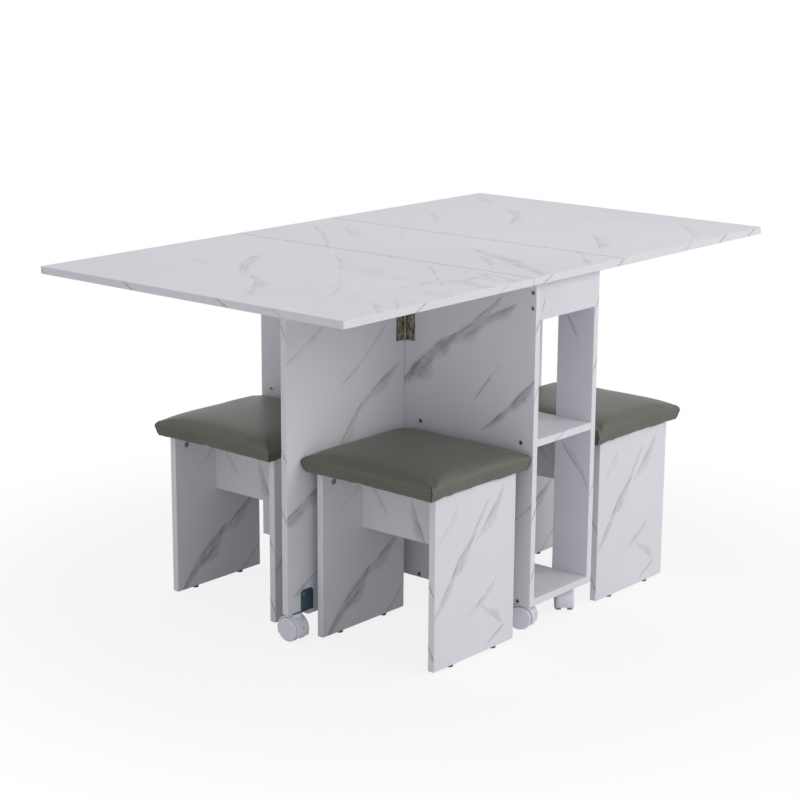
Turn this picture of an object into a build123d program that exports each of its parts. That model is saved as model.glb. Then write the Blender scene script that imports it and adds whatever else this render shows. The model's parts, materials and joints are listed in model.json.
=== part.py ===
from build123d import *

import os

# Drop-leaf table on casters with two swinging gate legs and four upholstered stools.
# X runs along the raised top, Y across it, Z up. The origin is the floor point under its centre.

# Table top
table_length = 1400.0
table_width = 800.0
table_height = 750.0
board = 15.0
centre_length = 300.0
seam_gap = 1.2
edge_break = 0.6

# Cabinet under the centre panel
cabinet_width = 215.0
cabinet_inset = 25.0
cabinet_bottom = 62.0
post_width = 90.0
middle_post_y = 45.0
rail_height = 80.0
middle_shelf_bottom = 397.0

# Gate legs
gate_y = 32.5
gate_length = 356.5
gate_end_gap = 1.0
gate_bottom = 50.0
gate_top_relief = 7.0
gate_tab = 60.0
leaf_rest_gap = 0.3

# Butt hinges
plate_thickness = 1.5
plate_reach = 24.0
knuckle_radius = 3.0
knuckle_clearance = 0.3
pin_radius = 1.4
running_gap = 0.08
knuckle_gap = 0.4
hinge_length = 62.0
gate_hinge_low_inset = 100.0
gate_hinge_high_inset = 95.0
leaf_hinge_y = 270.0

# Casters
wheel_radius = 25.0
wheel_inner = 7.0
wheel_outer = 20.0
wheel_bevel = 1.5
dish_radius = 19.0
dish_depth = 2.0
axle_radius = 3.0
trail = 8.0
hood_radius = 29.0
hood_inner_radius = 26.0
hood_width = 32.0
hood_low = 12.0
web_width = 12.0
boss_radius = 12.0
swivel_gap = 0.3
caster_plate = 40.0
plate_height = 2.0
kingpin_radius = 4.0
kingpin_length = 6.0
caster_side_inset = 39.5
caster_end_inset = 38.0
gate_caster_inset = 32.0
caster_turns = {"front_left": 20.0, "front_right": -50.0, "back_left": 110.0, "back_right": -140.0}

# Bracket that carries a gate leg's caster
bracket_width = 36.0
bracket_height = 46.0
bracket_inset = 37.5
bracket_foot_inset = 14.0
bracket_corner = 6.0

# Stools
stool_x = 272.0
stool_y = 211.0
stool_width = 252.0
stool_depth = 304.0
stool_leg_top = 354.0
glide_height = 5.0
glide_radius = 7.0
glide_x = 68.0
stretcher_height = 142.0
cam_radius = 6.0
cam_depth = 11.0
cam_x = 93.0
cam_drop = 27.0
seat_board = 9.0
seat_board_inset = 10.0
cushion_width = 310.0
cushion_depth = 334.0
cushion_taper = 8.0
cushion_skirt = 25.0
cushion_crown = 23.0
cushion_corner = 9.0
side_draw = 3.5
soft_gap = 0.3

# Clearances
fit_gap = 0.1
overrun = 1.0

# Places that follow from the sizes above
top_under = table_height - board
half_width = table_width / 2
cabinet_x = cabinet_width / 2
inner_x = cabinet_x - board
cabinet_y = half_width - cabinet_inset
caster_x = cabinet_x - caster_side_inset
caster_y = cabinet_y - caster_end_inset
seam_x = centre_length / 2
middle_shelf_z = middle_shelf_bottom + board / 2
bottom_shelf_z = cabinet_bottom + board / 2
stretcher_bottom = stool_leg_top - stretcher_height
hinge_back = knuckle_radius + knuckle_clearance
CENTRE_TOP = (Align.CENTER, Align.CENTER, Align.MAX)
CENTRE_BOTTOM = (Align.CENTER, Align.CENTER, Align.MIN)

os.makedirs("parts", exist_ok=True)


def add_block(low, high, mode=Mode.ADD):
    """Adds or cuts a block between its lowest and highest corners in the open part."""
    size = [top - bottom for bottom, top in zip(low, high)]
    middle = [(top + bottom) / 2 for bottom, top in zip(low, high)]
    with Locations(tuple(middle)):
        Box(*size, mode=mode)


def add_board(part, low, high):
    """Adds a board with all its edges eased to the open part."""
    add_block(low, high)
    chamfer(part.edges(), edge_break)


def save(part, name):
    """Labels a finished piece and writes it."""
    part.label = name
    export_step(part, f"parts/{name}.step")


def half_turn(part):
    """Returns a piece turned by half a turn about the table's upright centre line."""
    return part.rotate(Axis.Z, 180)


# Table top: centre panel and two leaves
with BuildPart() as top_center:
    add_board(top_center, (-seam_x, -half_width, top_under), (seam_x, half_width, table_height))
save(top_center.part, "top_center")

with BuildPart() as leaf_left:
    add_board(
        leaf_left,
        (-table_length / 2, -half_width, top_under),
        (-seam_x - seam_gap, half_width, table_height),
    )
save(leaf_left.part, "leaf_left")
save(half_turn(leaf_left.part), "leaf_right")

# Cabinet boards
with BuildPart() as side_panel:
    add_board(
        side_panel,
        (-cabinet_x, -cabinet_y, cabinet_bottom),
        (-inner_x, cabinet_y, top_under),
    )
save(side_panel.part, "side_panel")

post_centres = {
    "post_front": -cabinet_y + post_width / 2,
    "post_middle": middle_post_y,
    "post_back": cabinet_y - post_width / 2,
}
for post_name, post_y in post_centres.items():
    with BuildPart() as post:
        add_board(
            post,
            (inner_x, post_y - post_width / 2, cabinet_bottom),
            (cabinet_x, post_y + post_width / 2, top_under),
        )
    save(post.part, post_name)

for shelf_name, shelf_z in (("shelf_middle", middle_shelf_z), ("shelf_bottom", bottom_shelf_z)):
    with BuildPart() as shelf:
        add_board(
            shelf,
            (-inner_x, -cabinet_y, shelf_z - board / 2),
            (inner_x, cabinet_y, shelf_z + board / 2),
        )
    save(shelf.part, shelf_name)

rail_y = cabinet_y - board / 2
for rail_name, rail_side in (("rail_front", -1), ("rail_back", 1)):
    with BuildPart() as rail:
        add_board(
            rail,
            (-inner_x, rail_side * rail_y - board / 2, top_under - rail_height),
            (inner_x, rail_side * rail_y + board / 2, top_under),
        )
    save(rail.part, rail_name)

# Gate leg: a board with a notch for its caster and a low top edge that clears the leaf hinges
gate_near = -gate_y - board / 2
gate_far = -gate_y + board / 2
gate_root_x = -cabinet_x - gate_end_gap
gate_end_x = gate_root_x - gate_length
gate_top = top_under - leaf_rest_gap

with BuildPart() as gate_left:
    with BuildSketch(Plane.XZ.offset(-gate_far)):
        with BuildLine():
            Polyline(
                (gate_root_x, gate_bottom),
                (gate_end_x + gate_tab, gate_bottom),
                (gate_end_x + gate_tab, cabinet_bottom),
                (gate_end_x, cabinet_bottom),
                (gate_end_x, gate_top),
                (gate_end_x + gate_tab, gate_top),
                (gate_end_x + gate_tab, top_under - gate_top_relief),
                (gate_root_x, top_under - gate_top_relief),
                close=True,
            )
        make_face()
    extrude(amount=board)
    chamfer(gate_left.edges(), edge_break)
save(gate_left.part, "gate_left")
save(half_turn(gate_left.part), "gate_right")


def knuckle_spans(outer):
    """Returns the heights of a hinge half's knuckles: the two outer ones or the middle one."""
    third = hinge_length / 3
    if outer:
        return [(0, third - knuckle_gap / 2), (2 * third + knuckle_gap / 2, hinge_length)]
    return [(third + knuckle_gap / 2, 2 * third - knuckle_gap / 2)]


def hinge_half(outer):
    """Makes one half of a butt hinge: its pin line is Z, its plate lies along +X with its back at -Y.

    The outer half carries the pin, and the middle half turns on it.
    """
    plate_front = plate_thickness - hinge_back
    with BuildPart() as half:
        for low, high in knuckle_spans(outer):
            with Locations((0, 0, low)):
                Cylinder(knuckle_radius, high - low, align=CENTRE_BOTTOM)
            add_block((0, -hinge_back, low), (knuckle_radius + knuckle_gap, plate_front, high))
        add_block(
            (knuckle_radius + knuckle_gap, -hinge_back, 0),
            (plate_reach, plate_front, hinge_length),
        )
        if outer:
            Cylinder(pin_radius, hinge_length, align=CENTRE_BOTTOM)
        else:
            Cylinder(pin_radius + running_gap, hinge_length, align=CENTRE_BOTTOM, mode=Mode.SUBTRACT)
    return half.part


outer_half = hinge_half(True)
middle_half = hinge_half(False)

# Gate hinges: the outer halves on the cabinet, the middle halves on the gates' faces
gate_axis_x = -cabinet_x - hinge_back
gate_axis_y = gate_near - hinge_back
gate_hinge_levels = (
    gate_bottom + gate_hinge_low_inset,
    top_under - gate_top_relief - gate_hinge_high_inset - hinge_length,
)
gate_hinge_points = [(gate_axis_x, gate_axis_y, z) for z in gate_hinge_levels]
on_cabinet = [
    Plane(origin=(x, y, z + hinge_length), x_dir=(0, -1, 0), z_dir=(0, 0, -1)).location
    for x, y, z in gate_hinge_points
]
on_gate = [Plane(origin=point, x_dir=(-1, 0, 0), z_dir=(0, 0, 1)).location for point in gate_hinge_points]

with BuildPart() as gate_hinge_left:
    with Locations(*on_gate):
        add(middle_half)
save(gate_hinge_left.part, "gate_hinge_left")
save(half_turn(gate_hinge_left.part), "gate_hinge_right")

with BuildPart() as left_gate_hinges_fixed:
    with Locations(*on_cabinet):
        add(outer_half)
with BuildPart() as gate_hinges_fixed:
    add(left_gate_hinges_fixed.part)
    add(half_turn(left_gate_hinges_fixed.part))
save(gate_hinges_fixed.part, "gate_hinges_fixed")

# Leaf hinges: under the seams, with their pin lines along Y
leaf_axis_x = -seam_x - seam_gap / 2
leaf_axis_z = top_under - hinge_back
leaf_hinge_starts = [y - hinge_length / 2 for y in (-leaf_hinge_y, 0, leaf_hinge_y)]
under_centre = [
    Plane(origin=(leaf_axis_x, y, leaf_axis_z), x_dir=(1, 0, 0), z_dir=(0, 1, 0)).location
    for y in leaf_hinge_starts
]
under_leaf = [
    Plane(origin=(leaf_axis_x, y + hinge_length, leaf_axis_z), x_dir=(-1, 0, 0), z_dir=(0, -1, 0)).location
    for y in leaf_hinge_starts
]

with BuildPart() as leaf_hinge_left:
    with Locations(*under_leaf):
        add(middle_half)
save(leaf_hinge_left.part, "leaf_hinge_left")
save(half_turn(leaf_hinge_left.part), "leaf_hinge_right")

with BuildPart() as left_leaf_hinges_fixed:
    with Locations(*under_centre):
        add(outer_half)
with BuildPart() as leaf_hinges_fixed:
    add(left_leaf_hinges_fixed.part)
    add(half_turn(left_leaf_hinges_fixed.part))
save(leaf_hinges_fixed.part, "leaf_hinges_fixed")

# Caster: its swivel line is Z through the origin, its wheels trail along +Y
plate_under = cabinet_bottom - plate_height
wheel_centre = (0, trail, wheel_radius)

with BuildPart() as caster_hood:
    with BuildSketch(Plane.YZ):
        with Locations((trail, wheel_radius)):
            Circle(hood_radius)
            Circle(hood_inner_radius, mode=Mode.SUBTRACT)
        with Locations((trail, hood_low)):
            Rectangle(2 * hood_radius, 2 * hood_radius, align=(Align.CENTER, Align.MAX), mode=Mode.SUBTRACT)
    extrude(amount=hood_width / 2, both=True)
    with BuildSketch(Plane.YZ):
        with Locations((trail, wheel_radius)):
            Circle(hood_inner_radius)
        with Locations((trail, hood_low)):
            Rectangle(2 * hood_radius, 2 * hood_radius, align=(Align.CENTER, Align.MAX), mode=Mode.SUBTRACT)
    extrude(amount=web_width / 2, both=True)
    with Locations((0, 0, plate_under - swivel_gap)):
        Cylinder(boss_radius, plate_under - swivel_gap - wheel_radius - hood_inner_radius, align=CENTRE_TOP)
        Cylinder(kingpin_radius + running_gap, kingpin_length, align=CENTRE_TOP, mode=Mode.SUBTRACT)
    with Locations(Location(wheel_centre, (0, 90, 0))):
        Cylinder(axle_radius + running_gap, web_width + overrun, mode=Mode.SUBTRACT)

with BuildPart() as caster_wheels:
    with BuildSketch(Plane(origin=wheel_centre, x_dir=(1, 0, 0), z_dir=(0, -1, 0))):
        with BuildLine():
            Polyline(
                (0, 0),
                (0, axle_radius),
                (wheel_inner, axle_radius),
                (wheel_inner, wheel_radius),
                (wheel_outer - wheel_bevel, wheel_radius),
                (wheel_outer, wheel_radius - wheel_bevel),
                (wheel_outer, dish_radius),
                (wheel_outer - dish_depth, dish_radius - dish_depth),
                (wheel_outer - dish_depth, 0),
                close=True,
            )
        make_face()
    revolve(axis=Axis(wheel_centre, (1, 0, 0)))
    mirror(about=Plane.YZ)

gate_caster_x = gate_end_x + gate_caster_inset
caster_places = {
    "front_left": Location((-caster_x, -caster_y, 0), (0, 0, caster_turns["front_left"])),
    "front_right": Location((caster_x, -caster_y, 0), (0, 0, caster_turns["front_right"])),
    "back_left": Location((-caster_x, caster_y, 0), (0, 0, caster_turns["back_left"])),
    "back_right": Location((caster_x, caster_y, 0), (0, 0, caster_turns["back_right"])),
    "gate_left": Location((gate_caster_x, -gate_y, 0)),
    "gate_right": Location((-gate_caster_x, gate_y, 0), (0, 0, 180)),
}
for caster_name, caster_place in caster_places.items():
    save(caster_hood.part.moved(caster_place), f"caster_hood_{caster_name}")
    save(caster_wheels.part.moved(caster_place), f"caster_wheels_{caster_name}")

# Swivel plates under the cabinet, each with the kingpin that a hood turns on
cabinet_corners = [(x, y, cabinet_bottom) for x in (-caster_x, caster_x) for y in (-caster_y, caster_y)]
with BuildPart() as caster_plates:
    with Locations(*cabinet_corners):
        Box(caster_plate, caster_plate, plate_height, align=CENTRE_TOP)
        Cylinder(kingpin_radius, plate_height + kingpin_length, align=CENTRE_TOP)
save(caster_plates.part, "caster_plates")

# Bracket on the gate's near face: its foot lies in the notch and carries the kingpin
bracket_x = gate_end_x + bracket_inset
with BuildPart() as gate_bracket_left:
    with BuildSketch(Plane.XZ.offset(-gate_near)):
        with BuildLine():
            Polyline(
                (bracket_x, plate_under),
                (bracket_x, plate_under + bracket_height - bracket_corner),
                (bracket_x + bracket_corner, plate_under + bracket_height),
                (bracket_x + bracket_width - bracket_corner, plate_under + bracket_height),
                (bracket_x + bracket_width, plate_under + bracket_height - bracket_corner),
                (bracket_x + bracket_width, plate_under),
                close=True,
            )
        make_face()
    extrude(amount=plate_thickness)
    add_block(
        (gate_end_x + bracket_foot_inset, gate_near - plate_thickness, plate_under),
        (gate_end_x + gate_tab - edge_break - fit_gap, gate_far, cabinet_bottom),
    )
    with Locations((gate_caster_x, -gate_y, cabinet_bottom)):
        Cylinder(kingpin_radius, plate_height + kingpin_length, align=CENTRE_TOP)
save(gate_bracket_left.part, "gate_bracket_left")
save(half_turn(gate_bracket_left.part), "gate_bracket_right")


def cushion_outline(half_x, half_y, corner, draw):
    """Draws a closed outline with round corners, its sides drawn in by draw, in the open line."""
    turn = corner * (1 - 0.5**0.5)
    for side in (-1, 1):
        ThreePointArc(
            (side * (corner - half_x), side * -half_y),
            (0, side * (draw - half_y)),
            (side * (half_x - corner), side * -half_y),
        )
        ThreePointArc(
            (side * (half_x - corner), side * -half_y),
            (side * (half_x - turn), side * (turn - half_y)),
            (side * half_x, side * (corner - half_y)),
        )
        ThreePointArc(
            (side * half_x, side * (corner - half_y)),
            (side * (half_x - draw), 0),
            (side * half_x, side * (half_y - corner)),
        )
        ThreePointArc(
            (side * half_x, side * (half_y - corner)),
            (side * (half_x - turn), side * (half_y - turn)),
            (side * (half_x - corner), side * half_y),
        )


# Stool: two leg boards, a stretcher between them, and a padded seat on a thin board
leg_half_x = stool_width / 2
leg_outer_y = stool_depth / 2
leg_inner_y = leg_outer_y - board
cushion_low = stool_leg_top + soft_gap
tip_z = cushion_low + cushion_skirt
tip_x, tip_y = cushion_width / 2, cushion_depth / 2
low_x, low_y = tip_x - cushion_taper, tip_y - cushion_taper
seat_x, seat_y = low_x - seat_board_inset, low_y - seat_board_inset
cam_places = [
    Plane(origin=(x, side * leg_inner_y, stool_leg_top - cam_drop), z_dir=(0, -side, 0))
    for side in (-1, 1)
    for x in (-cam_x, cam_x)
]
glide_places = [(x, side * (leg_outer_y - board / 2), 0) for side in (-1, 1) for x in (-glide_x, glide_x)]

with BuildPart() as leg:
    add_board(leg, (-leg_half_x, -leg_outer_y, glide_height), (leg_half_x, -leg_inner_y, stool_leg_top))
    with Locations(*cam_places):
        Cylinder(cam_radius + fit_gap, cam_depth, align=CENTRE_TOP, mode=Mode.SUBTRACT)

with BuildPart() as stretcher:
    add_board(
        stretcher,
        (-board / 2, -leg_inner_y, stretcher_bottom),
        (board / 2, leg_inner_y, stool_leg_top),
    )

with BuildPart() as seat:
    add_board(seat, (-seat_x, -seat_y, stool_leg_top), (seat_x, seat_y, stool_leg_top + seat_board))

with BuildPart() as fittings:
    with Locations(*cam_places):
        Cylinder(cam_radius, cam_depth, align=CENTRE_TOP)
    with Locations(*glide_places):
        Cylinder(glide_radius, glide_height, align=CENTRE_BOTTOM)

# Each row gives a level of the crown: its share of the plan, of the height and of the corner's reach
crown_shares = (
    (1.0, 0.0, cushion_corner / tip_x),
    (0.9, 0.42, 0.22),
    (0.7, 0.78, 0.4),
    (0.36, 1.0, 0.6),
)

with BuildPart() as cushion:
    for level, (half_x, half_y) in ((cushion_low, (low_x, low_y)), (tip_z, (tip_x, tip_y))):
        with BuildSketch(Plane.XY.offset(level)):
            with BuildLine():
                cushion_outline(half_x, half_y, cushion_corner, side_draw)
            make_face()
    loft(ruled=True)
    for plan_share, height_share, corner_share in crown_shares:
        with BuildSketch(Plane.XY.offset(tip_z + height_share * cushion_crown)):
            with BuildLine():
                cushion_outline(
                    plan_share * tip_x,
                    plan_share * tip_y,
                    corner_share * plan_share * tip_x,
                    side_draw,
                )
            make_face()
    loft()
    add_block(
        (-seat_x - soft_gap, -seat_y - soft_gap, stool_leg_top - overrun),
        (seat_x + soft_gap, seat_y + soft_gap, stool_leg_top + seat_board + soft_gap),
        mode=Mode.SUBTRACT,
    )

stool_parts = {
    "leg_front": leg.part,
    "leg_back": half_turn(leg.part),
    "stretcher": stretcher.part,
    "seat_board": seat.part,
    "cushion": cushion.part,
    "fittings": fittings.part,
}
stool_places = {
    "front_left": (-stool_x, -stool_y, 0),
    "back_left": (-stool_x, stool_y, 0),
    "front_right": (stool_x, -stool_y, 0),
    "back_right": (stool_x, stool_y, 0),
}
for stool_name, stool_place in stool_places.items():
    for piece_name, piece in stool_parts.items():
        save(piece.moved(Location(stool_place)), f"stool_{stool_name}_{piece_name}")
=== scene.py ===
"""Looks of a drop-leaf dining table with four padded stools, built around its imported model."""

import json
import logging
import math
from collections.abc import Callable, Iterable, Sequence
from dataclasses import dataclass
from enum import Enum
from itertools import product

import bmesh
import bpy
from mathutils import Matrix, Vector, noise


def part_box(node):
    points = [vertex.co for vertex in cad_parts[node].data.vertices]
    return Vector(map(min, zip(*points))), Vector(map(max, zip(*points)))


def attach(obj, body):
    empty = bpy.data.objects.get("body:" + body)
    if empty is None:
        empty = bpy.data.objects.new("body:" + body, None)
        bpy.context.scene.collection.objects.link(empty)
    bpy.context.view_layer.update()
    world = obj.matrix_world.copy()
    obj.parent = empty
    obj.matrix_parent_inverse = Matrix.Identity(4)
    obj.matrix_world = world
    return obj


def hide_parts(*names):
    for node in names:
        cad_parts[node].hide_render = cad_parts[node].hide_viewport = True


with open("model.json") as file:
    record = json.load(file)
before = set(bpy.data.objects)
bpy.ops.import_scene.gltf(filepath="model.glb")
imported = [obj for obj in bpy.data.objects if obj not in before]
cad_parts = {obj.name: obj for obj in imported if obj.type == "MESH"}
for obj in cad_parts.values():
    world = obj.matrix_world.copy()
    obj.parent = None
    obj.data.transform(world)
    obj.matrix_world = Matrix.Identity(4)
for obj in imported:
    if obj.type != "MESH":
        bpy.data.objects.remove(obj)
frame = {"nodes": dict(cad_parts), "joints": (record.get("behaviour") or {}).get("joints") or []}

Pair = tuple[float, float]
Triple = tuple[float, float, float]
Colour = tuple[float, float, float, float]
Socket = bpy.types.NodeSocket
Node = bpy.types.Node
Tree = bpy.types.NodeTree
Thing = bpy.types.Object
Material = bpy.types.Material
Finishes = dict[str, Material]

LOG = logging.getLogger("dining_table")
MM = 0.001
UP = Vector((0.0, 0.0, 1.0))
SHARP = 0.7  # radians between two faces
SIGNS = (-1, 1)
SIDES = ((-1, "left"), (1, "right"))
STOOLS = {
    "front_left": (-1.0, -1.0),
    "back_left": (-1.0, 1.0),
    "front_right": (1.0, -1.0),
    "back_right": (1.0, 1.0),
}
STOOL_REACH = (272.0 * MM, 211.0 * MM)


class Lie(Enum):
    """The plane that a board lies in, as the order in which its pattern reads X, Y and Z."""

    FLAT = (0, 1, 2)
    ACROSS = (0, 2, 1)
    ALONG = (1, 2, 0)


class Graph:
    """A shader tree with short calls for its nodes."""

    def __init__(self, tree: Tree) -> None:
        """Keeps the tree that the calls add to."""
        self.tree = tree

    def node(self, kind: str, inputs: dict | None = None, **settings: object) -> Node:
        """Adds a node and feeds its sockets.

        Args:
            kind: Blender's type name, without the ShaderNode in front.
            inputs: Socket names or numbers, each with a value or a socket to link from.
            settings: Properties of the node itself.

        Returns:
            The new node.
        """
        made = self.tree.nodes.new("ShaderNode" + kind)
        for name, value in settings.items():
            setattr(made, name, value)
        for name, value in (inputs or {}).items():
            self.feed(made, name, value)
        return made

    def feed(self, made: Node, name: str | int, value: object) -> None:
        """Links a socket to a node's input, or sets the input's own value."""
        if isinstance(value, Socket):
            self.tree.links.new(value, made.inputs[name])
        else:
            made.inputs[name].default_value = value

    def group(self, tree: Tree, inputs: dict) -> bpy.types.bpy_prop_collection:
        """Adds a node group, feeds its sockets and returns its outputs."""
        made = self.node("Group", node_tree=tree)
        for name, value in inputs.items():
            self.feed(made, name, value)
        return made.outputs

    def math(self, operation: str, *values: float | Socket) -> Socket:
        """Adds a Math node on the values and returns its result."""
        return self.node("Math", dict(enumerate(values)), operation=operation).outputs[0]

    def add(self, first: float | Socket, second: float | Socket) -> Socket:
        """Returns the sum of two values."""
        return self.math("ADD", first, second)

    def less(self, first: float | Socket, second: float | Socket) -> Socket:
        """Returns the first value less the second."""
        return self.math("SUBTRACT", first, second)

    def size(self, value: Socket) -> Socket:
        """Returns a value without its sign."""
        return self.math("ABSOLUTE", value)

    def times(self, *values: float | Socket) -> Socket:
        """Returns the product of the values."""
        result = values[0]
        for value in values[1:]:
            result = self.math("MULTIPLY", result, value)
        return result

    def largest(self, values: Sequence[Socket]) -> Socket:
        """Returns the largest of several values."""
        best = values[0]
        for value in values[1:]:
            best = self.math("MAXIMUM", best, value)
        return best

    def vector(self, operation: str, *values: Triple | Socket) -> Socket:
        """Adds a Vector Math node on the values and returns its vector."""
        return self.node("VectorMath", dict(enumerate(values)), operation=operation).outputs[0]

    def measure(self, operation: str, *values: Triple | Socket) -> Socket:
        """Adds a Vector Math node on the values and returns its number."""
        made = self.node("VectorMath", dict(enumerate(values)), operation=operation)
        return made.outputs["Value"]

    def pack(self, x: float | Socket, y: float | Socket, z: float | Socket) -> Socket:
        """Returns a vector of three values."""
        return self.node("CombineXYZ", {0: x, 1: y, 2: z}).outputs[0]

    def parts(self, vector: Socket) -> bpy.types.bpy_prop_collection:
        """Returns the three parts of a vector."""
        return self.node("SeparateXYZ", {0: vector}).outputs

    def step(self, value: Socket, low: float, high: float) -> Socket:
        """Returns a smooth rise from 0 at low to 1 at high."""
        ends = {"Value": value, "From Min": low, "From Max": high}
        return self.node("MapRange", ends, interpolation_type="SMOOTHSTEP").outputs[0]

    def fall(self, value: Socket, low: float, high: float) -> Socket:
        """Returns a smooth fall from 1 at low to 0 at high."""
        return self.less(1.0, self.step(value, low, high))

    def scaled(self, value: Socket, low: float, high: float) -> Socket:
        """Maps a value from 0 to 1 onto low to high."""
        return self.node("MapRange", {"Value": value, "To Min": low, "To Max": high}).outputs[0]

    def stretched(self, place: Socket, scale: Triple, turn: Triple | Socket = (0.0, 0.0, 0.0)) -> Socket:
        """Returns a place that is turned and scaled along the axes."""
        return self.node("Mapping", {"Vector": place, "Rotation": turn, "Scale": scale}).outputs[0]

    def mix(self, factor: float | Socket, first: object, second: object) -> Socket:
        """Mixes two colours by a factor and returns the colour."""
        return self.node("Mix", {0: factor, 6: first, 7: second}, data_type="RGBA").outputs[2]

    def noise(self, place: Socket, scale: float | Socket, detail: float = 3.0, rough: float = 0.5) -> Socket:
        """Adds a Noise texture and returns its grey value."""
        values = {"Vector": place, "Scale": scale, "Detail": detail, "Roughness": rough}
        return self.node("TexNoise", values).outputs[0]

    def bump(self, shader: Node, height: Socket, distance: float, strength: float) -> None:
        """Gives a shader a bumped normal from a height between 0 and 1."""
        made = self.node("Bump", {"Height": height, "Distance": distance, "Strength": strength})
        self.feed(shader, "Normal", made.outputs[0])


def rgb(red: float, green: float, blue: float) -> Colour:
    """Returns a linear colour from display values between 0 and 255."""
    parts = [value / 255.0 for value in (red, green, blue)]
    linear = [part / 12.92 if part <= 0.04045 else ((part + 0.055) / 1.055) ** 2.4 for part in parts]
    return (*linear, 1.0)


def open_group(name: str, inputs: dict[str, float | None], outputs: Sequence[str]) -> tuple:
    """Starts a shader node group.

    Args:
        name: The group's name.
        inputs: The inputs by name, each with its default as a number, or with None for a vector.
        outputs: Names of the outputs, each a plain number.

    Returns:
        The group's graph, its inputs by name and its output node.
    """
    tree = bpy.data.node_groups.new(name, "ShaderNodeTree")
    for label, default in inputs.items():
        kind = "NodeSocketVector" if default is None else "NodeSocketFloat"
        made = tree.interface.new_socket(name=label, in_out="INPUT", socket_type=kind)
        if default is not None:
            made.default_value = default
    for label in outputs:
        tree.interface.new_socket(name=label, in_out="OUTPUT", socket_type="NodeSocketFloat")
    entry = tree.nodes.new("NodeGroupInput")
    return Graph(tree), {socket.name: socket for socket in entry.outputs}, tree.nodes.new("NodeGroupOutput")


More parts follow.
